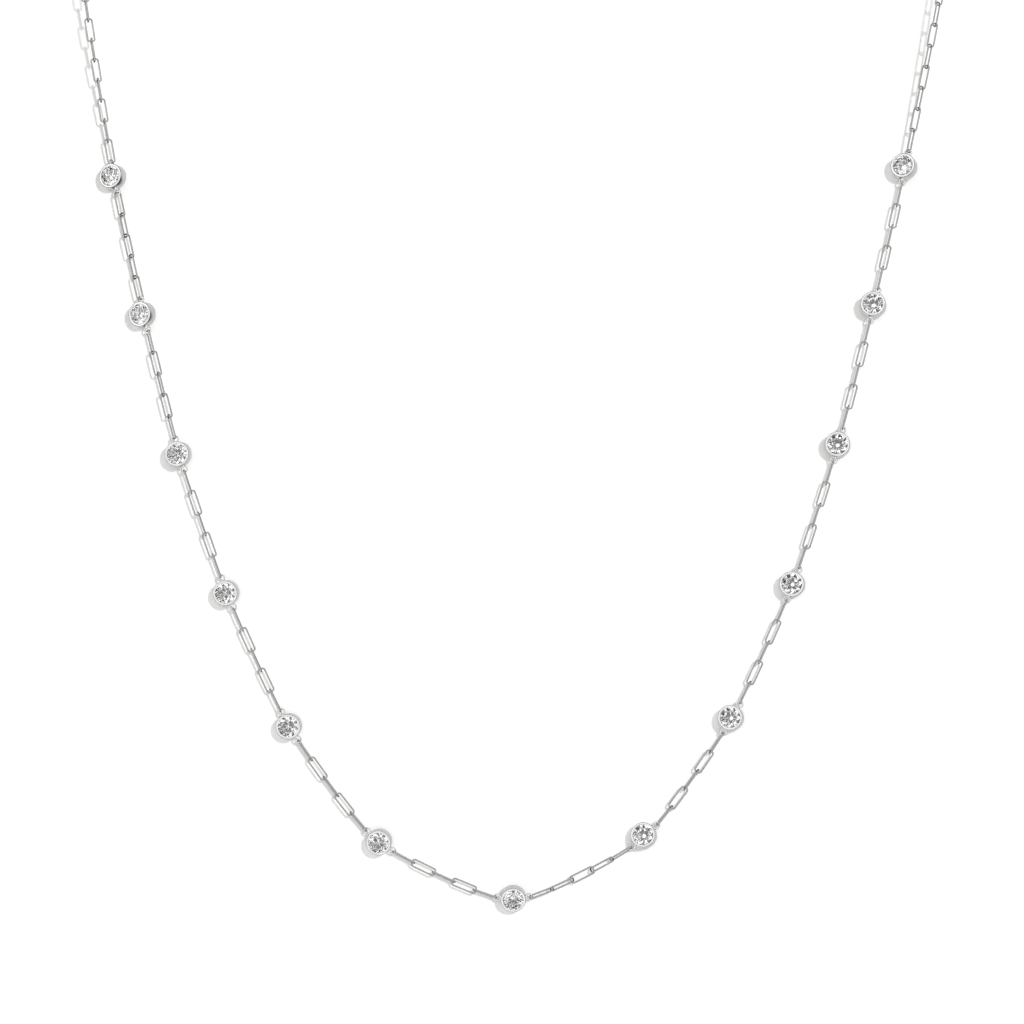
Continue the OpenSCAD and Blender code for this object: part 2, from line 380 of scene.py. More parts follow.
class Nodes:
    """A short way to lay out a material's or a world's nodes.

    Args:
        tree: The node tree, which is emptied.
    """

    # The sockets of a mix node that carry its colours.
    COLOUR_A, COLOUR_B, COLOUR_OUT = 6, 7, 2

    def __init__(self, tree: bpy.types.NodeTree) -> None:
        """Empties the tree."""
        self.tree = tree
        tree.nodes.clear()

    def add(self, kind: str, **values: object) -> bpy.types.Node:
        """Adds a node.

        Args:
            kind: The node's type.
            values: Its properties, and its inputs by name with _ for a space.

        Returns:
            The new node.
        """
        node = self.tree.nodes.new(kind)
        for key, value in values.items():
            if hasattr(node, key):
                setattr(node, key, value)
            else:
                node.inputs[key.replace("_", " ")].default_value = value
        return node

    def link(self, source: bpy.types.NodeSocket, target: bpy.types.NodeSocket) -> None:
        """Links an output to an input."""
        self.tree.links.new(source, target)

    def spread(
        self, source: bpy.types.NodeSocket, low: float, high: float, new_low: float, new_high: float
    ) -> bpy.types.NodeSocket:
        """Maps a value from one range to another.

        Args:
            source: The value.
            low: Where its range starts.
            high: Where its range ends.
            new_low: What low becomes.
            new_high: What high becomes.

        Returns:
            The mapped value.
        """
        node = self.add("ShaderNodeMapRange")
        for socket, value in zip(node.inputs[1:5], (low, high, new_low, new_high)):
            socket.default_value = value
        self.link(source, node.inputs[0])
        return node.outputs[0]

    def blend(
        self, share: bpy.types.NodeSocket, first: Colour, second: Colour
    ) -> bpy.types.NodeSocket:
        """Blends two colours.

        Args:
            share: How much of the second there is.
            first: The colour where the share is 0.
            second: The colour where it is 1.

        Returns:
            The blended colour.
        """
        node = self.add("ShaderNodeMix", data_type="RGBA")
        self.link(share, node.inputs[0])
        node.inputs[self.COLOUR_A].default_value = first
        node.inputs[self.COLOUR_B].default_value = second
        return node.outputs[self.COLOUR_OUT]

    def choose(
        self,
        which: bpy.types.NodeSocket,
        first: bpy.types.NodeSocket,
        second: bpy.types.NodeSocket,
    ) -> bpy.types.NodeSocket:
        """Takes one of two shaders.

        Args:
            which: 0 for the first, 1 for the second.
            first: The first shader.
            second: The second shader.

        Returns:
            The shader that it takes.
        """
        node = self.add("ShaderNodeMixShader")
        for source, socket in zip((which, first, second), node.inputs):
            self.link(source, socket)
        return node.outputs[0]

    def end(self, shader: bpy.types.NodeSocket, kind: str = "ShaderNodeOutputMaterial") -> None:
        """Leads the finished shader out, through an end node of its kind."""
        self.link(shader, self.add(kind).inputs["Surface"])


@dataclass(frozen=True)
class Finish:
    """What a piece is made of.

    Args:
        name: The material's name.
    """

    name: str

    def lay_out(self, n: Nodes) -> None:
        """Lays out the finish's own nodes in its empty material."""
        raise NotImplementedError

    def material(self) -> bpy.types.Material:
        """Makes the material the first time that it is asked for.

        Returns:
            The material.
        """
        made = bpy.data.materials.get(self.name)
        if made is None:
            made = bpy.data.materials.new(self.name)
            made.use_nodes = True
            self.lay_out(Nodes(made.node_tree))
        return made


@dataclass(frozen=True)
class WhiteGold(Finish):
    """Polished white gold with a bright plating, and fine wear in its shine.

    Args:
        name: The material's name.
        colour: Colour of the plating.
        worn: Colour where hands have warmed it.
        warmed: The noise at which it starts to be warmed, and at which it fully is.
        least_rough: Roughness where the polish is fresh.
        most_rough: Roughness where it is worn.
        dulled: The noise at which it starts to be dulled, and at which it fully is.
        patch: Size of a patch of wear.
        patch_layers: How many finer layers a patch has, and how strong they are.
        scratch: Width of the finest polishing marks.
        scratch_layers: The same of the marks.
        relief: Depth of the polishing marks.
        relief_share: How much of that depth shows.
    """

    name: str = "polished_white_gold"
    colour: Colour = (0.80, 0.796, 0.79, 1)
    worn: Colour = (0.74, 0.73, 0.715, 1)
    warmed: tuple[float, float] = (0.35, 0.7)
    least_rough: float = 0.09
    most_rough: float = 0.2
    dulled: tuple[float, float] = (0.3, 0.75)
    patch: float = 1.4 * MM
    patch_layers: tuple[float, float] = (3.0, 0.6)
    scratch: float = 0.09 * MM
    scratch_layers: tuple[float, float] = (2.0, 0.7)
    relief: float = 0.0012 * MM
    relief_share: float = 0.35

    @staticmethod
    def _noise(n: Nodes, size: float, layers: tuple[float, float]) -> bpy.types.NodeSocket:
        """Lays noise over the metal.

        Args:
            n: The material's nodes.
            size: Size of its coarsest patches.
            layers: How many finer layers it has, and how strong they are.

        Returns:
            The noise.
        """
        detail, rough = layers
        noise = n.add("ShaderNodeTexNoise", Scale=1 / size, Detail=detail, Roughness=rough)
        n.link(n.add("ShaderNodeTexCoord").outputs["Object"], noise.inputs["Vector"])
        return noise.outputs[0]

    def lay_out(self, n: Nodes) -> None:
        """Lays out the metal, its patches of wear and its polishing marks.

        Args:
            n: The material's nodes.
        """
        wear = self._noise(n, self.patch, self.patch_layers)
        marks = self._noise(n, self.scratch, self.scratch_layers)
        bump = n.add("ShaderNodeBump", Strength=self.relief_share, Distance=self.relief)
        n.link(marks, bump.inputs["Height"])
        tone = n.blend(n.spread(wear, *self.warmed, 0, 1), self.colour, self.worn)
        rough = n.spread(wear, *self.dulled, self.least_rough, self.most_rough)
        shader = n.add("ShaderNodeBsdfPrincipled", Metallic=1.0)
        n.link(tone, shader.inputs["Base Color"])
        n.link(rough, shader.inputs["Roughness"])
        n.link(bump.outputs[0], shader.inputs["Normal"])
        n.end(shader.outputs[0])


# The chain's wire is the same white gold as the settings, but with a much darker colour: painted
# shade that makes the fine wires look darker.
SHADED_WIRE_GOLD = WhiteGold(
    name="shaded_wire_white_gold",
    colour=(0.42, 0.418, 0.414, 1),
    worn=(0.38, 0.374, 0.366, 1),
    least_rough=0.12,
    most_rough=0.24,
)


@dataclass(frozen=True)
class Diamond(Finish):
    """A clear colourless stone whose girdle is left unpolished.

    Args:
        name: The material's name.
        colour: The stone's faint tint.
        ior: How strongly it bends light.
        girdle_rough: Roughness of the girdle.
        mask: Name of the attribute that is 1 on the girdle.
    """

    name: str = "clear_stone"
    colour: Colour = (0.97, 0.97, 0.995, 1)
    ior: float = 2.417
    girdle_rough: float = 0.35
    mask: str = "girdle"

    def lay_out(self, n: Nodes) -> None:
        """Lays out the clear stone and its girdle.

        Args:
            n: The material's nodes.
        """
        girdle = n.add("ShaderNodeAttribute", attribute_name=self.mask).outputs["Fac"]
        shader = n.add(
            "ShaderNodeBsdfPrincipled",
            Base_Color=self.colour,
            IOR=self.ior,
            Transmission_Weight=1.0,
        )
        n.link(n.spread(girdle, 0, 1, 0, self.girdle_rough), shader.inputs["Roughness"])
        n.end(shader.outputs[0])


@dataclass(frozen=True)
class Paper(Finish):
    """Matt white paper, seen from its front and open from behind.

    Args:
        name: The material's name.
        colour: The paper's white.
    """

    name: str = "studio_paper"
    colour: Colour = (0.9, 0.9, 0.9, 1)

    def lay_out(self, n: Nodes) -> None:
        """Lays out the paper's two sides.

        Args:
            n: The material's nodes.
        """
        behind = n.add("ShaderNodeNewGeometry").outputs["Backfacing"]
        white = n.add("ShaderNodeBsdfDiffuse", Color=self.colour)
        clear = n.add("ShaderNodeBsdfTransparent")
        n.end(n.choose(behind, white.outputs[0], clear.outputs[0]))


def dress(piece: bpy.types.Object, finish: Finish, slot: Slot, *nodes: str) -> None:
    """Gives a piece its finish and hands it to the frame.

    Args:
        piece: The finished piece.
        finish: What it is made of.
        slot: The record's slot for that; not used.
        nodes: The CAD nodes that it stands for.
    """
    piece.data.materials.clear()
    piece.data.materials.append(finish.material())
    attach(piece, BODY)
    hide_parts(*nodes)
    log.info("%s: %d faces", piece.name, len(piece.data.polygons))


# ---------------------------------------------------------------- the necklace


@dataclass
class PaperclipLink:
    """One link: a wire bent round four corners and closed.

    Args:
        wire_d: Diameter of the wire.
        length: Length over the ends.
        width: Width over the sides.
        bend_r: Bend radius to the middle of the wire.
        sides: Sides of the wire.
        steps: Steps in each bend.
    """

    wire_d: float = 0.22 * MM
    length: float = 3.58 * MM
    width: float = 1.18 * MM
    bend_r: float = 0.30 * MM
    sides: int = 14
    steps: int = 5

    def build(self) -> bpy.types.Object:
        """Bends the wire round, from the middle of a long side.

        Returns:
            The link, flat in X and Y.
        """
        straight = (self.length - self.wire_d) / 2 - self.bend_r
        across = (self.width - self.wire_d) / 2 - self.bend_r
        side = across + self.bend_r
        bench = Bench("link_pattern")
        bench.ring(self.wire_d / 2, self.sides, (0, -side, 0), (0, QUARTER, 0))
        for way, corner in (
            ((straight, 0, 0), (straight, -across, 0)),
            ((0, 2 * across, 0), (straight, across, 0)),
            ((-2 * straight, 0, 0), (-straight, across, 0)),
            ((0, -2 * across, 0), (-straight, -across, 0)),
        ):
            bench.draw(way)
            bench.bend(corner, UPWARDS, 90, self.steps)
        bench.draw((straight, 0, 0))
        bench.join_ends()
        return bench.finish()


@dataclass
class ChainSide:
    """The loose links of one side, from the lowest stone to the closure.

    Args:
        node: The CAD node with the links.
        finish: Their metal, by default the white gold darkened in colour as painted shade.
    """

    node: str
    finish: WhiteGold = SHADED_WIRE_GOLD

    def places(self) -> list[Place]:
        """Reads the place of each link from the loose solids of the node.

        Returns:
            The places.
        """
        found = []
        for solid in Solid.of_node(self.node).loose():
            longest, _, thinnest = solid.directions
            found.append(Place(solid.middle, longest, thinnest))
        return found

    def build(self, pattern: bpy.types.Object) -> None:
        """Hangs a copy of the link in each place.

        Args:
            pattern: The link, modelled once.
        """
        piece = set_out(pattern, self.places(), f"{self.node}_links")
        dress(piece, self.finish, Slot.METAL, self.node)


@dataclass
class Brilliant:
    """A round brilliant, cut facet by facet from a rough cylinder.

    Args:
        diameter: Diameter at the girdle.
        table_d: Diameter of the table across its corners.
        crown_h: Height of the crown.
        pavilion_h: Depth of the pavilion.
        girdle_h: Thickness of the girdle at the mains.
        halves: Share of the pavilion, from the girdle, that its halves reach down.
        mains: How many main facets the crown has.
        sides: Sides of the rough cylinder.
        upright: A face that leans less than this from upright is the girdle's.
    """

    diameter: float = 2.9 * MM
    table_d: float = 1.66 * MM
    crown_h: float = 0.43 * MM
    pavilion_h: float = 1.24 * MM
    girdle_h: float = 0.06 * MM
    halves: float = 0.78
    mains: int = 8
    sides: int = 64
    upright: float = 0.1

    @property
    def table_z(self) -> float:
        """Height of the table over the middle of the girdle."""
        return self.girdle_h / 2 + self.crown_h

    @property
    def culet_z(self) -> float:
        """Height of the culet over the middle of the girdle, which is below zero."""
        return -self.girdle_h / 2 - self.pavilion_h

    @staticmethod
    def _point(radius: float, degrees: float, height: float) -> Vector:
        """Returns a point at a radius, an angle and a height."""
        a = math.radians(degrees)
        return Vector((radius * math.cos(a), radius * math.sin(a), height))

    def _cut_round(self, bench: Bench, facet: Callable[[float], Facet]) -> None:
        """Cuts one facet through three points at each main.

        Args:
            bench: Where the stone lies.
            facet: Gives three points of the facet for a main's angle.
        """
        for i in range(self.mains):
            a, b, c = facet(i * 360 / self.mains)
            normal = (b - a).cross(c - a)
            if normal.dot(a + b + c) < 0:
                normal = -normal
            bench.cut(a, normal.normalized())

    def build(self) -> bpy.types.Object:
        """Cuts the stone.

        Returns:
            The stone, with its girdle about the origin and its table up.
        """
        p, half = self._point, 180 / self.mains
        inwards = math.cos(math.radians(half))
        r, top, low = self.diameter / 2, self.girdle_h / 2, -self.girdle_h / 2
        table = self.table_d / 2
        slope = self.crown_h / (r - table)
        star_r = (table * inwards + r) / 2
        star_z = top + (r - star_r * inwards) * slope
        half_r = r * (1 - self.halves)
        half_z = self.culet_z + half_r * inwards * self.pavilion_h / r
        table_z, culet = self.table_z, Vector((0, 0, self.culet_z))
        bench = Bench("stone_pattern")
        bench.cylinder(r, self.sides, self.culet_z - self.girdle_h, table_z)
        # The halves of the crown and of the pavilion, on each side of a main.
        for turn in (-half, half):
            self._cut_round(bench, lambda a, t=turn: (
                p(star_r, a + t, star_z), p(r, a + t, top), p(r, a, top)))
            self._cut_round(bench, lambda a, t=turn: (
                p(half_r, a + t, half_z), p(r, a + t, low), p(r, a, low)))
        # The kites and the stars of the crown.
        self._cut_round(bench, lambda a: (
            p(r, a, top), p(star_r, a - half, star_z), p(star_r, a + half, star_z)))
        self._cut_round(bench, lambda a: (
            p(table, a, table_z), p(table, a + 2 * half, table_z), p(star_r, a + half, star_z)))
        # The mains of the pavilion, down to the culet.
        self._cut_round(bench, lambda a: (
            culet, p(half_r, a - half, half_z), p(half_r, a + half, half_z)))
        bench.join_ends()
        made = bench.finish(smooth_angle=None)
        self._mark_girdle(made.data)
        return made

    def _mark_girdle(self, mesh: bpy.types.Mesh) -> None:
        """Marks the upright faces of the girdle for the finish.

        Args:
            mesh: The stone's mesh.
        """
        mask = mesh.attributes.new(Diamond.mask, "FLOAT", "FACE")
        marks = [1.0 if abs(f.normal.z) < self.upright else 0.0 for f in mesh.polygons]
        mask.data.foreach_set("value", marks)


@dataclass
class Bezel:
    """A bezel cup with a lip over the stone and a wire loop soldered to each end.

    Args:
        diameter: Outer diameter.
        height: Height from the back edge to the top of the rim.
        bore_d: Diameter inside the wall.
        lip_d: Diameter inside the rim.
        ledge_d: Diameter inside the seat.
        rim_z: Height of the middle of the round rim over the girdle.
        rim_under: How far down the rim's round ends, in its own radii.
        bore_top: How far down the bore starts, in the rim's radii.
        seat_z: Height of the outer edge of the seat.
        ledge_z: Height of its inner edge.
        loop_d: Outer diameter of a loop.
        loop_wire_d: Diameter of its wire.
        solder: How deep the loop is sunk into the wall.
        loop_drop: Drop of the loops below the top of the rim.
        sides: Sides of the cup.
        arc_steps: Steps round the rim and round the back edge.
        loop_mesh: Sides of a loop's wire, and steps round the loop.
    """

    diameter: float = 3.4 * MM
    height: float = 1.7 * MM
    bore_d: float = 2.98 * MM
    lip_d: float = 2.72 * MM
    ledge_d: float = 2.58 * MM
    rim_z: float = 0.2301 * MM
    rim_under: float = 0.94
    bore_top: float = 0.9
    seat_z: float = -0.0484 * MM
    ledge_z: float = -0.2194 * MM
    loop_d: float = 1.08 * MM
    loop_wire_d: float = 0.22 * MM
    solder: float = 0.08 * MM
    loop_drop: float = 1.38 * MM
    sides: int = 72
    arc_steps: tuple[int, int] = (16, 8)
    loop_mesh: tuple[int, int] = (12, 28)

    @property
    def rim_r(self) -> float:
        """Radius of the round rim."""
        return (self.diameter - self.lip_d) / 4

    @property
    def top(self) -> float:
        """Height of the rim's top over the girdle."""
        return self.rim_z + self.rim_r

    @staticmethod
    def _arc(
        radius: float, height: float, size: float, first: float, last: float, steps: int
    ) -> list[tuple[float, float]]:
        """Works out a round part of the profile.

        Args:
            radius: Radius of the arc's middle from the cup's axis.
            height: Height of the arc's middle.
            size: The arc's own radius.
            first: The angle where it starts, in degrees from outwards.
            last: The angle where it ends.
            steps: How many steps it takes.

        Returns:
            Radius and height of each point.
        """
        found = []
        for i in range(steps + 1):
            a = math.radians(first + (last - first) * i / steps)
            found.append((radius + size * math.cos(a), height + size * math.sin(a)))
        return found

    def profile(self) -> list[tuple[float, float]]:
        """Works out the cup's section, from its outer wall up and round.

        Returns:
            Radius and height of each point.
        """
        outer, bore, ledge = self.diameter / 2, self.bore_d / 2, self.ledge_d / 2
        back = self.top - self.height
        edge = (outer - bore) / 2
        rim_end = 180 + math.degrees(math.asin(self.rim_under))
        rim_steps, edge_steps = self.arc_steps
        return [
            *self._arc(outer - self.rim_r, self.rim_z, self.rim_r, 0, rim_end, rim_steps),
            (bore, self.rim_z - self.rim_r * self.bore_top),
            (bore, self.seat_z),
            (ledge, self.ledge_z),
            (ledge, back + 2 * edge),
            (bore, back + edge),
            *self._arc(outer - edge, back + edge, edge, 180, 360, edge_steps),
        ]

    def loop(self, end: int, turn: float) -> bpy.types.Object:
        """Bends the wire loop of one end.

        Args:
            end: 1 for the outer end, or -1 for the inner end.
            turn: Turn of the loop about X, in degrees.

        Returns:
            The loop.
        """
        mean = (self.loop_d - self.loop_wire_d) / 2
        middle = end * (self.diameter / 2 - self.solder + self.loop_d / 2)
        height = self.top - self.loop_drop
        y, z = math.cos(math.radians(turn)), math.sin(math.radians(turn))
        sides, steps = self.loop_mesh
        start = (middle, y * mean, height + z * mean)
        bench = Bench("loop")
        bench.ring(self.loop_wire_d / 2, sides, start, (0, QUARTER, 0))
        bench.bend((middle, 0, height), (0, -z, y), 360, steps)
        bench.join_ends()
        return bench.finish()

    def build(self, outer_turn: float) -> bpy.types.Object:
        """Turns the cup and solders its loops on.

        Args:
            outer_turn: Turn of the outer loop about X, in degrees.

        Returns:
            The setting, with the girdle of its stone about the origin.
        """
        bench = Bench("bezel_pattern")
        bench.turn_profile(self.profile(), self.sides)
        cup = bench.finish(smooth_angle=50)
        for end, turn in ((1, outer_turn), (-1, 0)):
            weld(cup, self.loop(end, turn))
        return cup


@dataclass
class Station:
    """One stone in its setting, in its place in the chain.

    Args:
        number: Its number, from the photo's upper left round to the upper right.
        metal: The setting's finish.
        gem: The stone's finish.
    """

    number: int
    metal: WhiteGold = WhiteGold()
    gem: Diamond = Diamond()

    def place(self, cut: Brilliant) -> Place:
        """Reads the place of the station from its CAD nodes.

        Args:
            cut: The stone's sizes.

        Returns:
            The middle of the girdle, the direction outwards along the chain and the
            direction of the table.
        """
        stone = Solid.of_node(f"stone_{self.number:02d}")
        middle = stone.points.mean(axis=0)
        _, axes = np.linalg.eigh(np.cov((stone.points - middle).T))
        up = axes[:, 0]
        heights = (stone.points - middle) @ up
        if heights.max() > -heights.min():
            up, heights = -up, -heights
        girdle = middle + up * (heights.max() - cut.table_z)
        along = Solid.of_node(f"setting_{self.number:02d}").directions[0]
        outwards = Vector((1, 0, 0) if self.number == LOWEST else UPWARDS)
        if along.dot(outwards) < 0:
            along = -along
        return Place(Vector(girdle), along, Vector(up))

    def build(self, bezel: bpy.types.Object, stone: bpy.types.Object, cut: Brilliant) -> None:
        """Puts copies of the setting and the stone in their place.

        Args:
            bezel: The setting, modelled once.
            stone: The stone, modelled once.
            cut: The stone's sizes.
        """
        place, number = self.place(cut), f"{self.number:02d}"
        setting = set_out(bezel, [place], f"bezel_{number}")
        dress(setting, self.metal, Slot.METAL, f"setting_{number}")
        gem = set_out(stone, [place], f"brilliant_{number}")
        dress(gem, self.gem, Slot.STONE, f"stone_{number}")


@dataclass
class Closure:
    """The spring ring at the nape and the end ring that it holds.

    Args:
        ring_d: Outer diameter of the spring ring.
        tube_d: Diameter of its tube.
        eye_d: Outer diameter of its own loop.
        eye_wire_d: Wire diameter of that loop.
        solder: How deep the loop is sunk into the tube.
        bolt_d: Diameter of the bolt that closes the tube's opening.
        opening: Angle of the tube's opening, in degrees.
        opening_end: Where the opening ends, in degrees from the end ring.
        ease: Width of the rounding of the tube's ends.
        ease_steps: Steps of that rounding.
        ease_angle: Edges sharper than this many degrees are rounded.
        thumb_d: Diameter of the thumb pin.
        thumb_h: Height of the thumb pin over the tube.
        thumb_sides: Sides of the thumb pin.
        thumb_turn: Its turn in degrees, which keeps its edges off the tube's.
        thumb_end: Steps of its eased end: how much each narrows it, and its rise in
            the pin's radii.
        end_d: Outer diameter of the end ring.
        end_wire_d: Wire diameter of the end ring.
        play: Free play between the rings.
        tube_mesh: Sides of the tube, and steps round it.
        eye_mesh: The same of the loop's wire.
        bolt_mesh: The same of the bolt.
        end_mesh: The same of the end ring's wire.
        finish: Their metal.
    """

    ring_d: float = 5.6 * MM
    tube_d: float = 1.1 * MM
    eye_d: float = 1.4 * MM
    eye_wire_d: float = 0.32 * MM
    solder: float = 0.08 * MM
    bolt_d: float = 0.72 * MM
    opening: float = 44
    opening_end: float = 72
    ease: float = 0.16 * MM
    ease_steps: int = 3
    ease_angle: float = 60
    thumb_d: float = 0.5 * MM
    thumb_h: float = 0.6 * MM
    thumb_sides: int = 20
    thumb_turn: float = 7
    thumb_end: tuple[tuple[float, float], ...] = ((0.93, 0.2), (0.72, 0.18), (0.4, 0.1))
    end_d: float = 3.2 * MM
    end_wire_d: float = 0.42 * MM
    play: float = 0.12 * MM
    tube_mesh: tuple[int, int] = (24, 64)
    eye_mesh: tuple[int, int] = (14, 32)
    bolt_mesh: tuple[int, int] = (18, 60)
    end_mesh: tuple[int, int] = (16, 48)
    finish: WhiteGold = WhiteGold()

    @property
    def ring_r(self) -> float:
        """Radius of the spring ring to the middle of its tube."""
        return (self.ring_d - self.tube_d) / 2

    @property
    def end_r(self) -> float:
        """Radius of the end ring to the middle of its wire."""
        return (self.end_d - self.end_wire_d) / 2

    @property
    def end_x(self) -> float:
        """Distance between the middles of the two rings."""
        return self.ring_r - (self.tube_d + self.end_wire_d) / 2 - self.play + self.end_r

    def places(self) -> tuple[Place, Place]:
        """Reads where the two rings lie.

        Returns:
            The places of the spring ring and of the end ring.
        """
        end = Solid.of_node("end_ring")
        along = end.middle.normalized()
        across = end.directions[2]
        up = across.cross(along)
        if up.y < 0:
            up = -up
        spring = end.middle - along * self.end_x
        return Place(spring, along, up), Place(end.middle, along, across)

    @staticmethod
    def _ring(name: str, mean: float, wire_d: float, mesh: tuple[int, int]) -> bpy.types.Object:
        """Bends a closed ring of wire.

        Args:
            name: The ring's name.
            mean: Its radius to the middle of the wire.
            wire_d: Diameter of the wire.
            mesh: Sides of the wire, and steps round the ring.

        Returns:
            The ring, flat in X and Y.
        """
        sides, steps = mesh
        bench = Bench(name)
        bench.ring(wire_d / 2, sides, (mean, 0, 0), (QUARTER, 0, 0))
        bench.bend(ORIGIN, UPWARDS, 360, steps)
        bench.join_ends()
        return bench.finish()

    def _tube(self) -> bpy.types.Object:
        """Bends the spring ring's tube, open where its bolt shows.

        Returns:
            The tube, with its ends closed and eased.
        """
        sides, steps = self.tube_mesh
        start = math.radians(self.opening_end)
        middle = (self.ring_r * math.cos(start), self.ring_r * math.sin(start), 0)
        bench = Bench("spring_pattern")
        bench.ring(self.tube_d / 2, sides, middle, (QUARTER, 0, start))
        bench.bend(ORIGIN, UPWARDS, 360 - self.opening, steps)
        bench.close_ends()
        tube = bench.finish()
        Bench.deselect()
        tube.select_set(True)
        eased = tube.modifiers.new("eased", "BEVEL")
        eased.width = self.ease
        eased.segments = self.ease_steps
        eased.limit_method = "ANGLE"
        eased.angle_limit = math.radians(self.ease_angle)
        bpy.ops.object.modifier_apply(modifier=eased.name)
        return tube

    def _thumb(self) -> bpy.types.Object:
        """Turns the thumb pin that draws the bolt back.

        Returns:
            The pin, standing in the tube, with an eased end.
        """
        r, foot, top = self.thumb_d / 2, self.tube_d / 4, self.tube_d / 2 + self.thumb_h
        bench = Bench("thumb")
        turn = (0, 0, math.radians(self.thumb_turn))
        bench.ring(r, self.thumb_sides, (0, 0, foot), turn)
        bench.draw((0, 0, top - foot - r / 2))
        for share, rise in self.thumb_end:
            bench.draw((0, 0, rise * r))
            bench.widen(share)
        bench.close_ends()
        thumb = bench.finish()
        thumb.data.transform(Matrix.Translation((0, self.ring_r, 0)))
        return thumb

    def _spring_ring(self) -> bpy.types.Object:
        """Models the spring ring.

        Returns:
            Its tube, bolt, loop and thumb pin as one piece.
        """
        ring = self._tube()
        eye_r = (self.eye_d - self.eye_wire_d) / 2
        eye = self._ring("eye", eye_r, self.eye_wire_d, self.eye_mesh)
        eye_x = -(self.ring_d + self.eye_d) / 2 + self.solder
        eye.data.transform(Matrix.Translation((eye_x, 0, 0)))
        bolt = self._ring("bolt", self.ring_r, self.bolt_d, self.bolt_mesh)
        for part in (bolt, eye, self._thumb()):
            weld(ring, part)
        return ring

    def build(self) -> None:
        """Models both rings and puts them in their places."""
        spring_place, end_place = self.places()
        spring = self._spring_ring()
        end = self._ring("end_pattern", self.end_r, self.end_wire_d, self.end_mesh)
        for pattern, place, name, node in (
            (spring, spring_place, "spring_ring_closed", "spring_ring"),
            (end, end_place, "end_ring_wire", "end_ring"),
        ):
            dress(set_out(pattern, [place], name), self.finish, Slot.METAL, node)
            bpy.data.objects.remove(pattern)


# ---------------------------------------------------------------- the studio


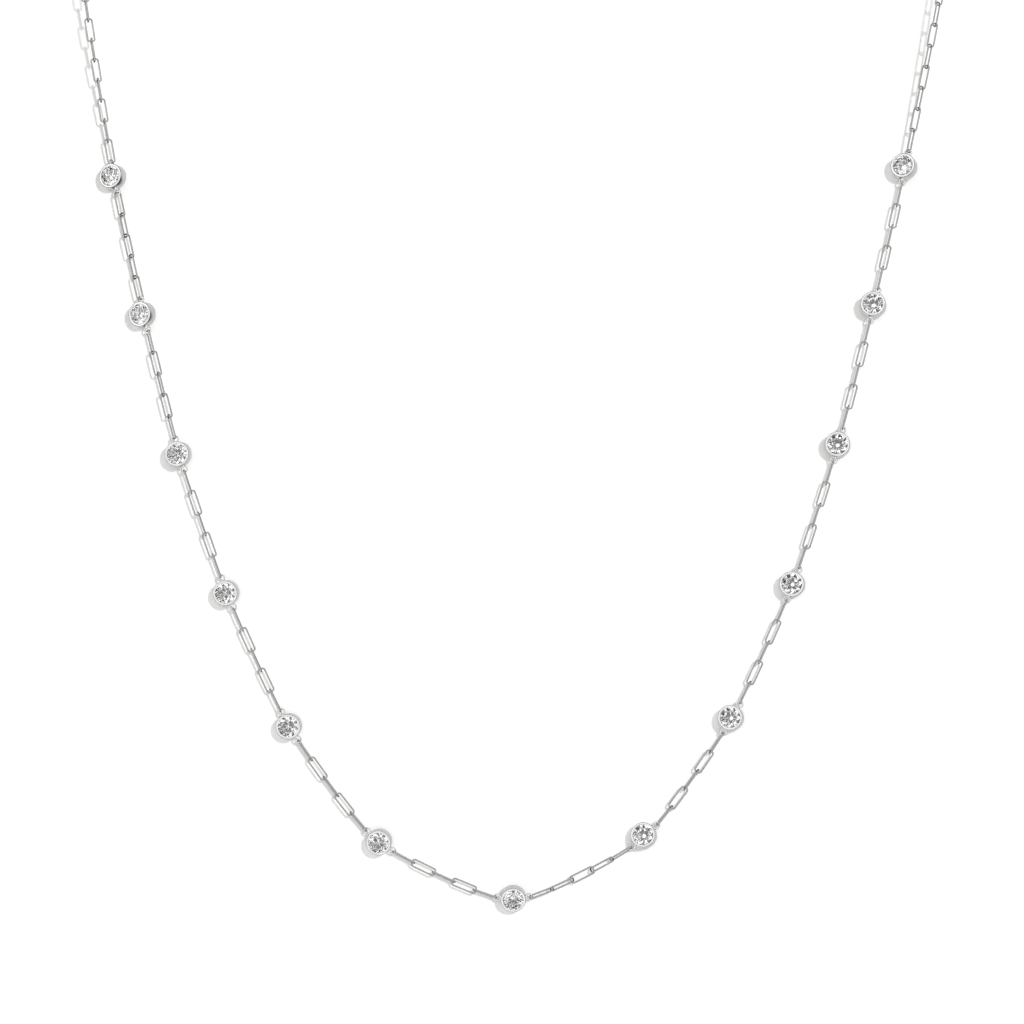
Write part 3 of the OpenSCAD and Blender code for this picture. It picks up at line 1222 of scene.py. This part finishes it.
@dataclass
class Studio:
    """White paper behind and under the necklace, soft light and the camera.

    Args:
        eye: Where the camera stands.
        lens: The camera's focal length, in millimetres.
        sensor: Width of its sensor, in millimetres.
        clip: The nearest and the farthest that it sees.
        floor_z: Height of the floor.
        floor_reach: How far the floor reaches each way.
        paper: Height of each row of the paper behind the necklace, from its foot up,
            and its depth behind the left side and behind the right side, in millimetres.
        paper_x: Where each row starts, leaves the left depth, gains the right depth
            and ends, in millimetres.
        paper_finish: The paper's finish.
        white: How bright the open room is to the camera.
        ambient: Strength of the light from all round on the paper.
        ambient_colour: Its colour.
        key: Strength of the key light.
        key_colour: Its colour.
        key_size: Its width in the sky, in degrees.
        key_from: The direction that it comes from.
        metal_tones: How bright the room is in the polished surfaces, at angles in
            degrees from the direction that the stones mostly face.
        stone_tones: How bright it is inside the stones.
        faces: The direction that the stones mostly face.
        bounces: How often light turns in all, on polished surfaces and in the stones.
        blur: How much sharp reflections are softened after a rough turn.
    """

    eye: tuple[float, float, float] = (0.303 * MM, -807.16 * MM, -105.36 * MM)
    lens: float = 200
    sensor: float = 36
    clip: tuple[float, float] = (0.05, 20)
    floor_z: float = -190 * MM
    floor_reach: float = 2.0
    paper: tuple[tuple[float, float, float], ...] = (
        (-190, -35.2, -35.2),
        (-148, -35.2, -35.2),
        (-134, -35.2, -35.0),
        (-116, -34.8, -35.0),
        (-97, -33.2, -33.7),
        (-78, -30.1, -30.6),
        (-58, -25.7, -26.4),
        (-36, -16.4, -20.9),
        (-25, -12.4, -18.5),
    )
    paper_x: tuple[float, float, float, float] = (-250, -55, 55, 250)
    paper_finish: Paper = Paper()
    white: float = 1.02
    ambient: float = 0.68
    ambient_colour: Colour = (1, 0.985, 0.965, 1)
    key: float = 1.6
    key_colour: tuple[float, float, float] = (0.985, 0.99, 1)
    key_size: float = 6
    key_from: tuple[float, float, float] = (0.39, -1, 0.32)
    metal_tones: Tones = (
        (0, 0.95), (40, 0.95), (46, 1.6), (70, 2.0),
        (74, 0.08), (126, 0.08), (132, 0.7), (180, 0.7),
    )
    stone_tones: Tones = (
        (0, 0.8), (7, 0.8), (10, 0), (35, 0), (39, 1.4), (54, 1.4), (58, 2.2), (71, 2.2),
        (74, 0.02), (130, 0.02), (140, 0.25), (180, 0.25),
    )
    faces: tuple[float, float, float] = (-0.176, -1, -0.087)
    bounces: tuple[int, int, int] = (20, 12, 16)
    blur: float = 0.2

    def _sheet(self, name: str, rows: Sequence[Sequence[tuple[float, float, float]]]) -> None:
        """Lays a sheet of paper, which neither the metal nor the stones mirror.

        Args:
            name: The sheet's name.
            rows: The points of each row across it.
        """
        wide = len(rows[0])
        faces = [
            (i, i + 1, i + wide + 1, i + wide)
            for i in range(wide * (len(rows) - 1)) if (i + 1) % wide
        ]
        mesh = bpy.data.meshes.new(name)
        mesh.from_pydata([point for row in rows for point in row], [], faces)
        mesh.materials.append(self.paper_finish.material())
        for face in mesh.polygons:
            face.use_smooth = True
        sheet = bpy.data.objects.new(name, mesh)
        bpy.context.scene.collection.objects.link(sheet)
        sheet.visible_transmission = sheet.visible_glossy = False

    def _papers(self) -> None:
        """Lays the floor and stands the sheet behind the necklace."""
        self._sheet("backdrop", [
            [
                (x * MM, y * MM, z * MM)
                for x, y in zip(self.paper_x, (left, left, right, right))
            ]
            for z, left, right in self.paper
        ])
        ends = (-self.floor_reach, self.floor_reach)
        self._sheet("floor", [[(x, y, self.floor_z) for x in ends] for y in ends])

    @staticmethod
    def _banded(n: Nodes, across: bpy.types.NodeSocket, tones: Tones) -> bpy.types.NodeSocket:
        """Lights the room in bands.

        Args:
            n: The world's nodes.
            across: Goes from 0 behind to 1 in front.
            tones: How bright the room is at angles in degrees from the front.

        Returns:
            The light.
        """
        band = n.add("ShaderNodeValToRGB")
        ramp = band.color_ramp
        ramp.elements.remove(ramp.elements[1])
        for i, (angle, tone) in enumerate(reversed(tones)):
            position = (1 + math.cos(math.radians(angle))) / 2
            stop = ramp.elements.new(position) if i else ramp.elements[0]
            stop.position, stop.color = position, (tone, tone, tone, 1)
        n.link(across, band.inputs[0])
        light = n.add("ShaderNodeBackground")
        n.link(band.outputs[0], light.inputs["Color"])
        return light.outputs[0]

    def _world(self) -> None:
        """Lights the room: white to the eye, soft on paper and banded in the metal."""
        world = bpy.data.worlds.new("studio")
        bpy.context.scene.world = world
        world.use_nodes = True
        n = Nodes(world.node_tree)
        path = n.add("ShaderNodeLightPath")
        ahead = n.add("ShaderNodeVectorMath", operation="DOT_PRODUCT")
        n.link(n.add("ShaderNodeTexCoord").outputs["Generated"], ahead.inputs[0])
        ahead.inputs[1].default_value = Vector(self.faces).normalized()
        across = n.spread(ahead.outputs["Value"], -1, 1, 0, 1)
        metal = self._banded(n, across, self.metal_tones)
        stone = self._banded(n, across, self.stone_tones)
        soft = n.add("ShaderNodeBackground", Color=self.ambient_colour, Strength=self.ambient)
        seen = n.add("ShaderNodeBackground", Color=(1, 1, 1, 1), Strength=self.white)
        # Light that comes out of a stone has passed through at least one face of it.
        inside = n.add("ShaderNodeMath", operation="GREATER_THAN")
        n.link(path.outputs["Transmission Depth"], inside.inputs[0])
        inside.inputs[1].default_value = 0.5
        light = n.choose(inside.outputs[0], metal, stone)
        light = n.choose(path.outputs["Is Diffuse Ray"], light, soft.outputs[0])
        light = n.choose(path.outputs["Is Camera Ray"], light, seen.outputs[0])
        n.end(light, "ShaderNodeOutputWorld")

    def _key(self) -> None:
        """Hangs the soft key light high on the right, in front."""
        light = bpy.data.lights.new("key", "SUN")
        light.energy = self.key
        light.angle = math.radians(self.key_size)
        light.color = self.key_colour
        lamp = bpy.data.objects.new("key", light)
        lamp.visible_glossy = False
        lamp.rotation_mode = "QUATERNION"
        lamp.rotation_quaternion = Vector(self.key_from).to_track_quat("Z", "Y")
        bpy.context.scene.collection.objects.link(lamp)

    def _camera(self) -> None:
        """Stands the camera square in front of the necklace."""
        data = bpy.data.cameras.new("camera")
        data.lens = self.lens
        data.sensor_width = self.sensor
        data.clip_start, data.clip_end = self.clip
        camera = bpy.data.objects.new("camera", data)
        camera.location = self.eye
        camera.rotation_euler = (QUARTER, 0, 0)
        bpy.context.scene.collection.objects.link(camera)
        bpy.context.scene.camera = camera

    def build(self) -> None:
        """Sets up the whole studio."""
        self._papers()
        self._world()
        self._key()
        self._camera()
        bpy.context.scene.view_settings.view_transform = "Standard"
        light = bpy.context.scene.cycles
        light.max_bounces, light.glossy_bounces, light.transmission_bounces = self.bounces
        light.blur_glossy = self.blur


def main() -> None:
    """Builds the necklace piece by piece, and the studio round it."""
    logging.basicConfig(level=logging.INFO, format="%(name)s: %(message)s")
    link = PaperclipLink().build()
    for node in ("chain_left", "chain_right"):
        ChainSide(node).build(link)
    cut = Brilliant()
    stone = cut.build()
    bezel = Bezel().build(outer_turn=0)
    crossed = Bezel().build(outer_turn=90)
    for number in range(1, STATIONS + 1):
        Station(number).build(crossed if number == CROSSED else bezel, stone, cut)
    Closure().build()
    for pattern in (link, stone, bezel, crossed):
        bpy.data.objects.remove(pattern)
    Studio().build()


if __name__ == "__main__":
    main()
